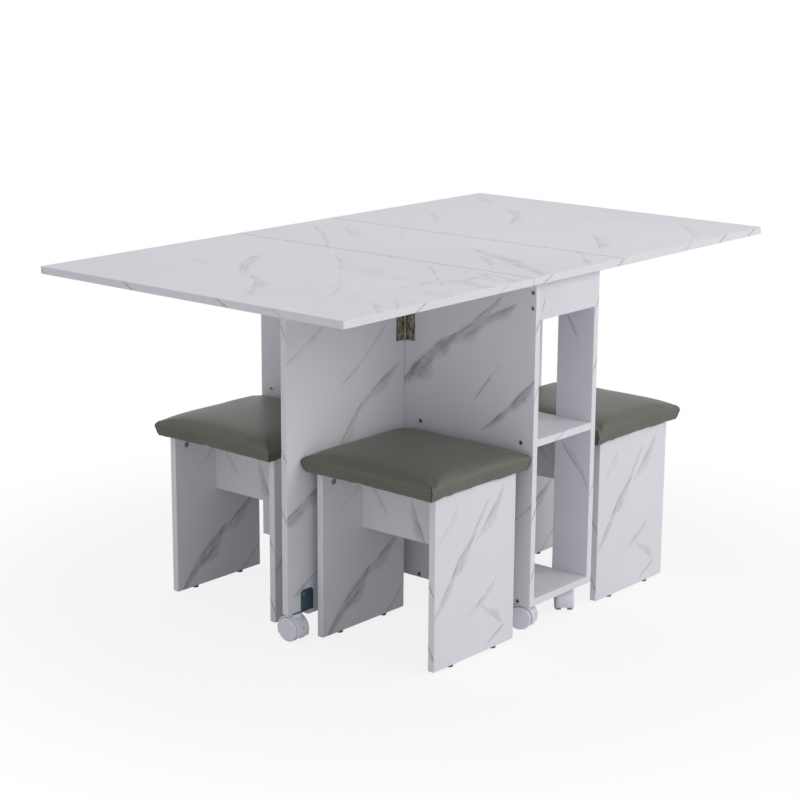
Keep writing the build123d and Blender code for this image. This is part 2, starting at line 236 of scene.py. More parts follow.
class Effects:
    """Shared node groups, each built once. Lengths are in metres, scales in turns a metre."""

    strand_squeeze: float = 6.0
    strand_scale: float = 17.0
    bulge_scale: float = 16.0
    patch_scale: float = 20.0
    taper: float = 0.4
    thinnest: float = 0.12
    line_edge: Pair = (0.2 * MM, 1.4 * MM)
    hair_ridge: float = 0.012
    strip_wobble: float = 18.0 * MM
    strip_line: Pair = (0.4 * MM, 3.0 * MM)
    strip_smear: float = 13.0 * MM
    crease_shade: float = 0.22
    pebble: float = 0.35

    def __init__(self) -> None:
        """Builds every group."""
        self.streak = self._streak()
        self.hairlines = self._hairlines()
        self.band_marks = self._band_marks()
        self.handling = self._handling()
        self.hide = self._hide()

    def _streak(self) -> Tree:
        """One vein between two points: a crisp line with a smear of fine strands on one side."""
        inputs = {"Place": None, "Start": None, "End": None, "Bow": 0.0, "Width": 0.02}
        inputs |= {"Shade": 0.5, "Ink": 0.5, "Seed": 0.0}
        graph, given, out = open_group("marble streak", inputs, ["Smear", "Line"])
        run = graph.vector("SUBTRACT", given["End"], given["Start"])
        ahead = graph.vector("NORMALIZE", run)
        aside = graph.vector("CROSS_PRODUCT", tuple(UP), ahead)
        offset = graph.vector("SUBTRACT", given["Place"], given["Start"])
        travel = graph.measure("DOT_PRODUCT", offset, ahead)
        along = graph.math("DIVIDE", travel, graph.measure("LENGTH", run))
        rest = graph.less(1.0, along)
        arch = graph.times(along, rest, given["Bow"], 4.0)
        across = graph.less(graph.measure("DOT_PRODUCT", offset, aside), arch)

        strands = graph.pack(travel, graph.times(across, self.strand_squeeze), given["Seed"])
        strand = graph.noise(strands, self.strand_scale, 3.0, 0.6)
        bulges = graph.noise(graph.pack(travel, 0.0, given["Seed"]), self.bulge_scale, 1.0)
        bulge = graph.step(bulges, 0.3, 0.7)
        taper = graph.times(graph.step(along, 0.0, self.taper), graph.step(rest, 0.0, self.taper))
        swell = graph.add(self.thinnest, graph.times(taper, graph.scaled(bulge, 0.3, 0.95)))
        share = graph.math("DIVIDE", across, graph.times(given["Width"], swell))
        crisp, faded = graph.step(share, -0.3, 0.1), graph.fall(share, 0.25, 1.1)
        body = graph.times(crisp, faded, graph.step(taper, 0.0, 0.5))
        spots = graph.pack(travel, across, given["Seed"])
        patch = graph.step(graph.noise(spots, self.patch_scale, 2.0), 0.34, 0.62)
        tone = graph.times(given["Shade"], graph.scaled(graph.step(strand, 0.3, 0.72), 0.4, 1.0))
        tone = graph.times(tone, graph.scaled(patch, 0.62, 1.08))
        thin = graph.fall(graph.size(across), *self.line_edge)
        broken = graph.step(graph.add(bulge, strand), 0.75, 1.15)
        line = graph.times(thin, graph.step(taper, 0.0, 0.3), broken)
        graph.feed(out, "Smear", graph.times(body, tone))
        graph.feed(out, "Line", graph.times(line, given["Ink"]))
        return graph.tree

    def _hairlines(self) -> Tree:
        """Thin broken veins that run on a slant, and soft clouds between them."""
        inputs = {"Place": None, "Scale": 5.0, "Turn": None}
        graph, given, out = open_group("hairline veins", inputs, ["Line", "Cloud"])
        place = graph.stretched(given["Place"], (1.0, 0.4, 1.0), given["Turn"])
        ridge = graph.size(graph.less(graph.noise(place, given["Scale"], 5.0, 0.62), 0.5))
        line = graph.fall(ridge, 0.0, self.hair_ridge)
        patches = graph.noise(place, graph.times(given["Scale"], 0.45), 1.0)
        cloud = graph.noise(place, graph.times(given["Scale"], 0.7), 4.0, 0.6)
        graph.feed(out, "Line", graph.times(line, graph.step(patches, 0.56, 0.68)))
        graph.feed(out, "Cloud", graph.step(cloud, 0.4, 0.75))
        return graph.tree

    def _band_marks(self) -> Tree:
        """Short slanted veins, one at a time, along the strip that covers a board's edge."""
        inputs = {"Along": 0.0, "Across": 0.0, "Spacing": 0.128, "Slant": 2.0}
        graph, given, out = open_group("edge strip marks", inputs, ["Line", "Smear"])
        slid = graph.less(given["Along"], graph.times(given["Across"], given["Slant"]))
        count = graph.math("DIVIDE", slid, given["Spacing"])
        number = graph.math("FLOOR", count)
        chance = graph.node("TexWhiteNoise", {"W": number}, noise_dimensions="1D").outputs["Value"]
        places = graph.pack(given["Along"], graph.times(given["Across"], 3.0), 0.0)
        wobble = graph.less(graph.noise(places, 130.0, 2.0), 0.5)
        middle = graph.less(graph.less(count, number), graph.scaled(chance, 0.4, 0.6))
        distance = graph.times(middle, given["Spacing"])
        distance = graph.add(distance, graph.times(wobble, self.strip_wobble))
        line = graph.fall(graph.size(distance), *self.strip_line)
        smear = graph.times(graph.step(distance, -4.0 * MM, MM), graph.fall(distance, MM, self.strip_smear))
        shown = graph.scaled(graph.step(chance, 0.15, 0.8), 0.1, 1.0)
        graph.feed(out, "Line", graph.times(line, shown))
        graph.feed(out, "Smear", graph.times(smear, shown))
        return graph.tree

    def _handling(self) -> Tree:
        """Light wear of a surface that is touched: smudges, fine rubs and a slightly uneven skin."""
        inputs = {"Place": None, "Fineness": 900.0}
        graph, given, out = open_group("handling wear", inputs, ["Smudge", "Rub", "Skin"])
        drawn = graph.stretched(given["Place"], (1.0, 14.0, 5.0))
        graph.feed(out, "Smudge", graph.noise(given["Place"], 9.0, 3.0, 0.55))
        graph.feed(out, "Rub", graph.step(graph.noise(drawn, 60.0, 2.0, 0.6), 0.6, 0.75))
        graph.feed(out, "Skin", graph.noise(given["Place"], given["Fineness"], 2.0))
        return graph.tree

    def _hide(self) -> Tree:
        """Pebbled leather: rounded cells of uneven size, with creases between them."""
        inputs = {"Place": None, "Cells": 700.0}
        graph, given, out = open_group("leather grain", inputs, ["Height", "Crease", "Tone"])
        warped = graph.vector("ADD", given["Place"], graph.noise(given["Place"], 160.0, 2.0))
        pattern = {"Vector": given["Place"], "Scale": given["Cells"], "Randomness": 1.0}
        cells = graph.node("TexVoronoi", pattern, feature="DISTANCE_TO_EDGE").outputs["Distance"]
        fine = graph.noise(warped, 2400.0, 2.0)
        graph.feed(out, "Height", graph.add(graph.step(cells, 0.0, self.pebble), graph.times(fine, 0.25)))
        # The crease mask only darkens the leather's colour: painted shade between the pebbles.
        graph.feed(out, "Crease", graph.fall(cells, 0.0, self.crease_shade))
        graph.feed(out, "Tone", graph.noise(given["Place"], 8.0))
        return graph.tree


EFFECTS = Effects()


def new_material(name: str) -> tuple[Material, Graph, Node, Socket]:
    """Starts a material and returns it with its graph, its shader and the object coordinates."""
    material = bpy.data.materials.new(name)
    material.use_nodes = True
    graph = Graph(material.node_tree)
    shader = material.node_tree.nodes["Principled BSDF"]
    return material, graph, shader, graph.node("TexCoord").outputs["Object"]


@dataclass(frozen=True)
class Streak:
    """One vein of the marble print, in millimetres on the board's face."""

    start: Pair
    end: Pair
    width: float
    shade: float
    ink: float
    bow: float = 0.0

    def crosses(self, low: float, high: float) -> bool:
        """Tells whether the vein reaches a band of the board between two places, in metres."""
        reach = (self.width + abs(self.bow)) * MM
        left, right = sorted((self.start[0] * MM, self.end[0] * MM))
        return left - reach < high and right + reach > low


@dataclass(frozen=True)
class MarbleBoard:
    """Marble-print laminate with a light strip on its edges.

    The print reads the board's own plane, so lie, centre and turned place it on the board.
    """

    name: str
    lie: Lie
    streaks: tuple[Streak, ...]
    centre: Triple = (0.0, 0.0, 0.0)
    turned: bool = False
    seam: float = 0.0
    seam_line: float = 1.6 * MM
    sway: float = 0.03
    hairline_scale: float = 3.4
    slant: float = 0.75
    cloud_share: float = 0.22
    rough: float = 0.44
    white: Colour = rgb(234, 234, 239)
    cloud: Colour = rgb(196, 197, 202)
    smear: Colour = rgb(116, 116, 116)
    ink: Colour = rgb(112, 103, 94)
    band: Colour = rgb(236, 236, 240)
    band_ink: Colour = rgb(150, 124, 98)

    def _on_board(self, graph: Graph, vector: Socket) -> Socket:
        """Reorders a vector so that its first two parts lie in the board's plane."""
        parts = graph.parts(vector)
        return graph.pack(*(parts[axis] for axis in self.lie.value))

    def _veins(self, graph: Graph, plane: Socket) -> tuple[Socket, Socket]:
        """Lays out every streak and returns the smears and the lines."""
        pull = graph.node("TexNoise", {"Vector": plane, "Scale": 5.5, "Detail": 2.0, "Roughness": 0.4})
        centred = graph.vector("SUBTRACT", pull.outputs["Color"], (0.5, 0.5, 0.5))
        sway = graph.vector("MULTIPLY", centred, (self.sway, self.sway, self.sway))
        warped = graph.vector("ADD", plane, sway)
        made = []
        for number, streak in enumerate(self.streaks):
            values = {
                "Place": warped,
                "Start": (streak.start[0] * MM, streak.start[1] * MM, 0.0),
                "End": (streak.end[0] * MM, streak.end[1] * MM, 0.0),
                "Bow": streak.bow * MM,
                "Width": streak.width * MM,
                "Shade": streak.shade,
                "Ink": streak.ink,
                "Seed": float(number),
            }
            made.append(graph.group(EFFECTS.streak, values))
        return graph.largest([out["Smear"] for out in made]), graph.largest([out["Line"] for out in made])

    def _face(self, graph: Graph, place: Socket, printed: Socket) -> Socket:
        """Returns the colour of the board's faces."""
        plane = graph.vector("MULTIPLY", printed, (1.0, 1.0, 0.0))
        pattern = {"Place": plane, "Scale": self.hairline_scale, "Turn": (0.0, 0.0, self.slant)}
        fine = graph.group(EFFECTS.hairlines, pattern)
        colour = graph.mix(graph.times(fine["Cloud"], self.cloud_share), self.white, self.cloud)
        colour = graph.mix(graph.times(fine["Line"], 0.2), colour, self.smear)
        smear, line = self._veins(graph, plane)
        colour = graph.mix(line, graph.mix(smear, colour, self.smear), self.ink)
        if self.seam:
            away = graph.size(graph.less(graph.size(graph.parts(place)[0]), self.seam))
            joint = graph.fall(away, 0.6 * self.seam_line, self.seam_line)
            colour = graph.mix(graph.times(joint, 0.75), colour, self.smear)
        return colour

    def _strip(self, graph: Graph, printed: Socket, tilt: Sequence[Socket]) -> Socket:
        """Returns the colour of the strip on the board's edges."""
        sideways = graph.math("GREATER_THAN", graph.size(tilt[0]), 0.5)
        spots = graph.parts(printed)
        run = graph.node("Mix", {0: sideways, 2: spots[0], 3: spots[1]}).outputs[0]
        marks = graph.group(EFFECTS.band_marks, {"Along": run, "Across": spots[2]})
        colour = graph.mix(graph.times(marks["Smear"], 0.26), self.band, self.smear)
        return graph.mix(graph.times(marks["Line"], 0.6), colour, self.band_ink)

    def build(self) -> Material:
        """Makes the material."""
        material, graph, shader, place = new_material(self.name)
        sign = -1.0 if self.turned else 1.0
        shifted = graph.vector("SUBTRACT", place, self.centre)
        printed = self._on_board(graph, graph.vector("MULTIPLY", shifted, (sign, sign, 1.0)))
        normal = graph.node("TexCoord").outputs["Normal"]
        tilt = graph.parts(self._on_board(graph, normal))
        edge = graph.math("LESS_THAN", graph.size(tilt[2]), 0.5)
        colour = graph.mix(edge, self._face(graph, place, printed), self._strip(graph, printed, tilt))
        wear = graph.group(EFFECTS.handling, {"Place": printed, "Fineness": 1500.0})
        colour = graph.mix(graph.times(wear["Skin"], 0.06), colour, self.cloud)
        rough = graph.add(self.rough, graph.times(wear["Smudge"], 0.14))
        graph.feed(shader, "Base Color", colour)
        graph.feed(shader, "Roughness", graph.less(rough, graph.times(wear["Rub"], 0.05)))
        graph.bump(shader, wear["Skin"], 0.12 * MM, 0.5)
        return material


@dataclass(frozen=True)
class Leather:
    """Grey-olive imitation leather with a fine pebble, its creases painted darker as painted shade."""

    name: str = "seat leather"
    base: Colour = rgb(103, 101, 90)
    worn: Colour = rgb(110, 108, 97)
    crease_shade: Colour = rgb(76, 74, 66)

    def build(self) -> Material:
        """Makes the material."""
        material, graph, shader, place = new_material(self.name)
        hide = graph.group(EFFECTS.hide, {"Place": place})
        colour = graph.mix(graph.step(hide["Tone"], 0.35, 0.7), self.base, self.worn)
        # The creases between the pebbles are darkened: painted shade.
        graph.feed(shader, "Base Color", graph.mix(graph.times(hide["Crease"], 0.35), colour, self.crease_shade))
        graph.feed(shader, "Roughness", graph.add(0.34, graph.times(hide["Tone"], 0.1)))
        graph.bump(shader, hide["Height"], 0.08 * MM, 0.4)
        return material


@dataclass(frozen=True)
class Moulding:
    """Plastic or paint: one colour with smudges, rubbed spots and a fine skin."""

    name: str
    colour: Colour
    rubbed: Colour
    rough: float
    skin: float = 0.06 * MM
    fineness: float = 700.0
    rub_share: float = 0.3

    def build(self) -> Material:
        """Makes the material."""
        material, graph, shader, place = new_material(self.name)
        wear = graph.group(EFFECTS.handling, {"Place": place, "Fineness": self.fineness})
        tone = graph.mix(graph.times(wear["Rub"], self.rub_share), self.colour, self.rubbed)
        graph.feed(shader, "Base Color", graph.mix(graph.times(wear["Smudge"], 0.2), tone, self.rubbed))
        graph.feed(shader, "Roughness", graph.add(self.rough - 0.06, graph.times(wear["Smudge"], 0.14)))
        graph.bump(shader, wear["Skin"], self.skin, 0.7)
        return material


@dataclass(frozen=True)
class Plating:
    """Plated or bare metal with drawn lines and dull spots."""

    name: str
    colour: Colour
    dull: Colour
    rough: float
    patch_scale: float = 220.0

    def build(self) -> Material:
        """Makes the material."""
        material, graph, shader, place = new_material(self.name)
        wear = graph.group(EFFECTS.handling, {"Place": place, "Fineness": 1400.0})
        patches = graph.noise(graph.stretched(place, (1.0, 1.0, 0.25)), self.patch_scale, 3.0, 0.6)
        graph.feed(shader, "Base Color", graph.mix(graph.step(patches, 0.42, 0.62), self.colour, self.dull))
        graph.feed(shader, "Metallic", 1.0)
        graph.feed(shader, "Roughness", graph.add(self.rough, graph.times(wear["Skin"], 0.2)))
        graph.bump(shader, wear["Rub"], 0.04 * MM, 0.5)
        return material


@dataclass(frozen=True)
class Plywood:
    """Raw plywood with long grain."""

    light: Colour = rgb(182, 166, 142)
    dark: Colour = rgb(152, 134, 110)

    def build(self) -> Material:
        """Makes the material."""
        material, graph, shader, place = new_material("raw plywood")
        rings = graph.noise(graph.stretched(place, (1.0, 0.06, 6.0)), 90.0, 6.0, 0.65)
        graph.feed(shader, "Base Color", graph.mix(graph.step(rings, 0.35, 0.7), self.light, self.dark))
        graph.feed(shader, "Roughness", 0.75)
        graph.bump(shader, rings, 0.3 * MM, 0.5)
        return material


TOP_PRINT = (
    Streak((71, 389), (-192, 86), 18, 0.22, 0.3, 5),
    Streak((-192, 86), (-352, -79), 14, 0.19, 0.3, 5),
    Streak((-352, -79), (-575, -246), 12, 0.13, 0.21, 6),
    Streak((-290, 190), (-505, 40), 42, 0.29, 0.21, -20),
    Streak((-470, 76), (-689, -137), 34, 0.23, 0.24, 28),
    Streak((92, 306), (-16, 150), 24, 0.22, 0.24, -12),
    Streak((156, 196), (6, 70), 14, 0.16, 0.18),
    Streak((-520, -290), (-640, -440), 18, 0.19, 0.42),
    Streak((-450, -300), (-590, -430), 12, 0.13, 0.3),
    Streak((-610, 400), (-500, 250), 20, 0.09, 0.15),
    Streak((-424, 340), (-478, 140), 20, 0.1, 0.15, 8),
    Streak((-166, -132), (-350, -344), 10, 0.19, 0.45, 3),
    Streak((56, -70), (-84, -360), 40, 0.3, 0.27, -10),
    Streak((-54, -230), (-132, -414), 30, 0.3, 0.42, 8),
    Streak((0, -130), (-116, -270), 22, 0.2, 0.27),
    Streak((560, 224), (308, 24), 34, 0.24, 0.21, 22),
    Streak((650, 372), (560, 250), 26, 0.19, 0.21),
    Streak((510, -10), (640, -160), 22, 0.14, 0.18),
    Streak((360, -180), (190, -312), 34, 0.26, 0.27, 6),
    Streak((296, -186), (340, -256), 24, 0.22, 0.21),
    Streak((655, -186), (465, -386), 24, 0.17, 0.27),
    Streak((172, -264), (20, -410), 20, 0.19, 0.3),
    Streak((420, 362), (212, 142), 22, 0.13, 0.18, 12),
)
PANEL_PRINT = (
    Streak((-20, 448), (-214, 622), 46, 0.82, 0.7, -26),
    Streak((-120, 560), (-348, 700), 34, 0.62, 0.55, -8),
    Streak((-180, 600), (-300, 712), 20, 0.5, 0.8),
    Streak((-214, 468), (-292, 566), 9, 0.3, 0.6),
    Streak((-226, 404), (-400, 578), 26, 0.72, 0.6, 12),
    Streak((-318, 226), (-392, 294), 12, 0.3, 0.6),
    Streak((-96, 236), (-262, 352), 24, 0.34, 0.45, 8),
    Streak((340, 460), (100, 650), 52, 0.5, 0.6, 14),
    Streak((310, 170), (50, 340), 34, 0.4, 0.5, -12),
    Streak((190, 80), (30, 200), 24, 0.34, 0.5),
)
GATE_PRINT = (
    Streak((-98, 546), (-276, 434), 26, 0.5, 0.5, -3),
    Streak((-222, 484), (-344, 358), 22, 0.36, 0.6, 3),
    Streak((-136, 654), (-320, 500), 14, 0.24, 0.4, 12),
    Streak((-328, 656), (-484, 572), 16, 0.18, 0.35),
    Streak((-322, 330), (-500, 240), 42, 0.6, 0.45),
    Streak((-360, 148), (-458, 98), 18, 0.44, 0.45),
    Streak((-114, 316), (-336, 136), 34, 0.5, 0.5, -12),
)
LEG_FRONT_PRINT = (
    Streak((96, 364), (-18, 230), 24, 0.34, 0.4, 12),
    Streak((16, 272), (-90, 160), 26, 0.5, 0.5, -8),
    Streak((-48, 214), (-146, 84), 20, 0.38, 0.5),
    Streak((48, 328), (-34, 232), 14, 0.26, 0.35),
    Streak((74, 152), (-44, 90), 18, 0.26, 0.4, 6),
    Streak((0, 112), (94, 38), 22, 0.28, 0.3, 5),
    Streak((32, 86), (82, 62), 18, 0.26, 0.3),
    Streak((102, 50), (-2, -4), 10, 0.22, 0.55),
    Streak((-52, 334), (-130, 248), 22, 0.16, 0.2),
)
LEG_BACK_PRINT = (
    Streak((134, 190), (-24, 88), 26, 0.5, 0.55),
    Streak((46, 140), (-126, -18), 40, 0.76, 0.6, -17),
    Streak((124, 64), (48, -16), 12, 0.28, 0.45),
    Streak((28, 338), (-78, 260), 16, 0.14, 0.25),
)
STRETCHER_PRINT = (
    Streak((14, 320), (-42, 190), 26, 0.5, 0.45, 4),
    Streak((126, 350), (62, 242), 18, 0.28, 0.35),
    Streak((-62, 350), (-136, 230), 22, 0.32, 0.45),
)
SHELF_PRINT = (
    Streak((90, -300), (-70, -200), 16, 0.3, 0.5),
    Streak((80, -90), (-90, 30), 20, 0.4, 0.6),
    Streak((90, 200), (-60, 320), 16, 0.35, 0.55),
)
POST_PRINT = (
    Streak((-350, 560), (-300, 640), 10, 0.3, 0.6),
    Streak((-380, 250), (-290, 380), 16, 0.4, 0.6),
    Streak((0, 480), (95, 610), 16, 0.4, 0.6),
    Streak((5, 130), (90, 230), 14, 0.35, 0.55),
    Streak((290, 330), (380, 470), 16, 0.4, 0.6),
)
RAIL_PRINT = (Streak((-66, 732), (-88, 660), 9, 0.3, 0.6),)


def deselect() -> None:
    """Leaves object mode with nothing selected."""
    if bpy.context.object is not None and bpy.context.object.mode != "OBJECT":
        bpy.ops.object.mode_set(mode="OBJECT")
    bpy.ops.object.select_all(action="DESELECT")


def pick(*things: Thing) -> None:
    """Makes objects the only ones selected, and the first of them the active one."""
    deselect()
    for thing in things:
        thing.select_set(True)
    bpy.context.view_layer.objects.active = things[0]


def drop(*things: Thing) -> None:
    """Deletes objects that were only needed on the way."""
    for thing in things:
        bpy.data.objects.remove(thing)


def show(thing: Thing) -> Thing:
    """Adds an object to the scene."""
    bpy.context.scene.collection.objects.link(thing)
    return thing


def settle(thing: Thing) -> None:
    """Applies an object's place and modifiers, so that its mesh holds both."""
    pick(thing)
    bpy.ops.object.transform_apply(location=True, rotation=True, scale=True)
    for modifier in list(thing.modifiers):
        bpy.ops.object.modifier_apply(modifier=modifier.name)


def select_faces(thing: Thing, test: Callable[[bmesh.types.BMFace], bool]) -> None:
    """Selects, in edit mode, only the faces that pass the test."""
    bpy.ops.mesh.select_mode(type="FACE")
    bpy.ops.mesh.select_all(action="DESELECT")
    for face in bmesh.from_edit_mesh(thing.data).faces:
        face.select_set(test(face))
    bmesh.update_edit_mesh(thing.data)


def round_edges(
    thing: Thing, width: float, segments: int, test: Callable[[bmesh.types.BMVert], bool]
) -> None:
    """Bevels, in edit mode, the edges sharper than SHARP whose two ends pass the test."""
    bpy.ops.mesh.select_mode(type="EDGE")
    bpy.ops.mesh.select_all(action="DESELECT")
    for edge in bmesh.from_edit_mesh(thing.data).edges:
        sharp = len(edge.link_faces) == 2 and edge.calc_face_angle() > SHARP
        edge.select_set(sharp and all(test(vert) for vert in edge.verts))
    bmesh.update_edit_mesh(thing.data)
    bpy.ops.mesh.bevel(offset=width, segments=segments)


def ring(thing: Thing, way: int, steps: Iterable[Pair], units: Pair = (MM, MM)) -> None:
    """Insets the end face of a turned piece again and again, and lifts it each time.

    Args:
        thing: The piece, in edit mode.
        way: 1 for the upper end, -1 for the lower one.
        steps: Inset and lift of each step.
        units: Lengths that the insets and the lifts are given in.
    """
    for inset, lift in steps:
        select_faces(thing, lambda face: way * face.normal.z > 0.9 and len(face.verts) > 4)
        bpy.ops.mesh.inset(thickness=inset * units[0])
        bpy.ops.transform.translate(value=(0.0, 0.0, lift * units[1]))


def add_cylinder(name: str, radius: float, low: float, high: float, sides: int) -> Thing:
    """Adds an upright cylinder on the Z axis, and leaves it in edit mode."""
    deselect()
    middle = (0.0, 0.0, (low + high) / 2)
    bpy.ops.mesh.primitive_cylinder_add(vertices=sides, radius=radius, depth=high - low, location=middle)
    made = bpy.context.object
    made.name = name
    settle(made)
    bpy.ops.object.mode_set(mode="EDIT")
    return made


def carve(thing: Thing, size: Triple, centre: Triple, turn: float = 0.0) -> None:
    """Cuts a block out of an object."""
    deselect()
    bpy.ops.mesh.primitive_cube_add(size=1.0, location=centre, rotation=(0.0, 0.0, turn), scale=size)
    cutter = bpy.context.object
    settle(cutter)
    pick(thing)
    cut = thing.modifiers.new("cut", "BOOLEAN")
    cut.object = cutter
    cut.solver = "EXACT"
    bpy.ops.object.modifier_apply(modifier=cut.name)
    drop(cutter)


def shade(thing: Thing, angle: float) -> None:
    """Shades an object smooth below an angle in degrees."""
    pick(thing)
    bpy.ops.object.shade_smooth_by_angle(angle=math.radians(angle))


def join(parts: Sequence[Thing], name: str) -> Thing:
    """Joins objects into the first of them and names it."""
    pick(*parts)
    if len(parts) > 1:
        bpy.ops.object.join()
    parts[0].name = name
    return parts[0]


def spread(model: Thing, name: str, places: Iterable[Matrix]) -> Thing:
    """Copies a modelled piece to every place and joins the copies into one object.

    Args:
        model: The piece, modelled at the origin.
        name: The name of the joined object.
        places: Where each copy goes.

    Returns:
        The joined object, at the origin.
    """
    copies = []
    for place in places:
        copy = show(bpy.data.objects.new(name, model.data.copy()))
        copy.data.transform(place)
        copies.append(copy)
    return join(copies, name)


def facing(point: Sequence[float], normal: Sequence[float], turn: float = 0.0) -> Matrix:
    """Returns the place at a point whose Z axis lies along a normal, spun by turn about it."""
    spin = Vector(normal).to_track_quat("Z", "Y").to_matrix().to_4x4()
    return Matrix.Translation(Vector(point)) @ spin @ Matrix.Rotation(turn, 4, "Z")


def dress(thing: Thing, *materials: Material) -> None:
    """Gives an object its materials, in the order of its slots."""
    if thing.material_slots and len(materials) == 1:
        for slot in thing.material_slots:
            slot.material = materials[0]
        return
    thing.data.materials.clear()
    for material in materials:
        thing.data.materials.append(material)


def dress_nodes(finish: Material, *names: str) -> None:
    """Gives the nodes that are named a finish."""
    for name in names:
        dress(frame["nodes"][name], finish)


def paint_faces(thing: Thing, test: Callable[[bpy.types.MeshPolygon], bool]) -> None:
    """Gives the faces that pass the test the second of two materials, and the others the first."""
    for face in thing.data.polygons:
        face.material_index = 1 if test(face) else 0


def place_piece(thing: Thing, body: str, slot: str, *nodes: str) -> None:
    """Rides a piece on its body and hides the nodes that it stands for."""
    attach(thing, body)
    if nodes:
        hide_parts(*nodes)
    LOG.info("%s rides on %s with %d faces", thing.name, body, len(thing.data.polygons))


def softened(node: str, name: str, width: float) -> Thing:
    """Copies a node's mesh and rounds its edges.

    Args:
        node: The node that the piece will stand for.
        name: The new piece's name.
        width: Width of the rounding, in metres.

    Returns:
        The rounded copy.
    """
    copy = show(bpy.data.objects.new(name, frame["nodes"][node].data.copy()))
    pick(copy)
    bpy.ops.object.mode_set(mode="EDIT")
    bpy.ops.mesh.select_all(action="SELECT")
    bpy.ops.mesh.remove_doubles(threshold=0.01 * MM)
    bpy.ops.mesh.dissolve_limited(angle_limit=math.radians(1.0))
    bpy.ops.object.mode_set(mode="OBJECT")
    bevel = copy.modifiers.new("rounding", "BEVEL")
    bevel.width = width
    bevel.segments = 3
    bevel.limit_method = "ANGLE"
    bevel.angle_limit = math.radians(40.0)
    bevel.use_clamp_overlap = True
    settle(copy)
    shade(copy, 45.0)
    return copy


def stool_centre(stool: str) -> Vector:
    """Returns the point on the floor under the middle of a stool."""
    side, end = STOOLS[stool]
    return Vector((side * STOOL_REACH[0], end * STOOL_REACH[1], 0.0))


def box_end(node: str, axis: int, sign: int) -> float:
    """Returns where a node's box ends along an axis: its high end for a positive sign."""
    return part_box(node)[1 if sign > 0 else 0][axis]


def box_middle(node: str, axis: int) -> float:
    """Returns the middle of a node's box along an axis."""
    low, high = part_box(node)
    return (low[axis] + high[axis]) / 2


@dataclass
class Boards:
    """The marble-print boards of the table and the stools."""

    seam_x: float = 150.6 * MM
    top_hairlines: float = 2.6

    def _top(self) -> None:
        """Prints one run of veins over the three boards of the top."""
        for node in ("top_center", "leaf_left", "leaf_right"):
            low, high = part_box(node)
            near = tuple(streak for streak in TOP_PRINT if streak.crosses(low.x, high.x))
            board = MarbleBoard(
                f"marble {node}", Lie.FLAT, near, seam=self.seam_x, hairline_scale=self.top_hairlines
            )
            dress_nodes(board.build(), node)

    def _stool(self, stool: str) -> None:
        """Prints the boards of one stool about its own middle."""
        prints = {
            "leg_front": (Lie.ACROSS, LEG_FRONT_PRINT),
            "leg_back": (Lie.ACROSS, LEG_BACK_PRINT),
            "stretcher": (Lie.ALONG, STRETCHER_PRINT),
        }
        for piece, (lie, printed) in prints.items():
            name = f"stool_{stool}_{piece}"
            board = MarbleBoard(f"marble {name}", lie, printed, tuple(stool_centre(stool)))
            dress_nodes(board.build(), name)

    def build(self) -> None:
        """Gives every board its print."""
        self._top()
        groups = (
            ("panel", Lie.ALONG, PANEL_PRINT, ("side_panel",)),
            ("posts", Lie.ALONG, POST_PRINT, ("post_front", "post_middle", "post_back")),
            ("rails", Lie.ACROSS, RAIL_PRINT, ("rail_front", "rail_back")),
            ("shelves", Lie.FLAT, SHELF_PRINT, ("shelf_middle", "shelf_bottom")),
        )
        for name, lie, printed, nodes in groups:
            dress_nodes(MarbleBoard(f"marble {name}", lie, printed).build(), *nodes)
        for sign, side in SIDES:
            gate = MarbleBoard(f"marble gate {side}", Lie.ACROSS, GATE_PRINT, turned=sign > 0)
            dress_nodes(gate.build(), f"gate_{side}")
        for stool in STOOLS:
            self._stool(stool)
        LOG.info("boards dressed")


@dataclass
class Metalwork:
    """Hinges, plates and brackets, and the bare seat boards."""

    finishes: Finishes
    bracket_rounding: float = 0.5 * MM

    def build(self) -> None:
        """Gives each its finish and rounds the brackets' edges."""
        hinges = ("leaf_hinges_fixed", "leaf_hinge_left", "leaf_hinge_right")
        hinges += ("gate_hinges_fixed", "gate_hinge_left", "gate_hinge_right")
        dress_nodes(self.finishes["nickel"], *hinges)
        dress_nodes(self.finishes["zinc"], "caster_plates")
        dress_nodes(self.finishes["plywood"], *(f"stool_{stool}_seat_board" for stool in STOOLS))
        for _, side in SIDES:
            node = f"gate_bracket_{side}"
            dress_nodes(self.finishes["paint"], node)
            bracket = softened(node, f"bracket_{side}", self.bracket_rounding)
            dress(bracket, self.finishes["paint"])
            place_piece(bracket, f"gate_{side}", "painted_bracket", node)


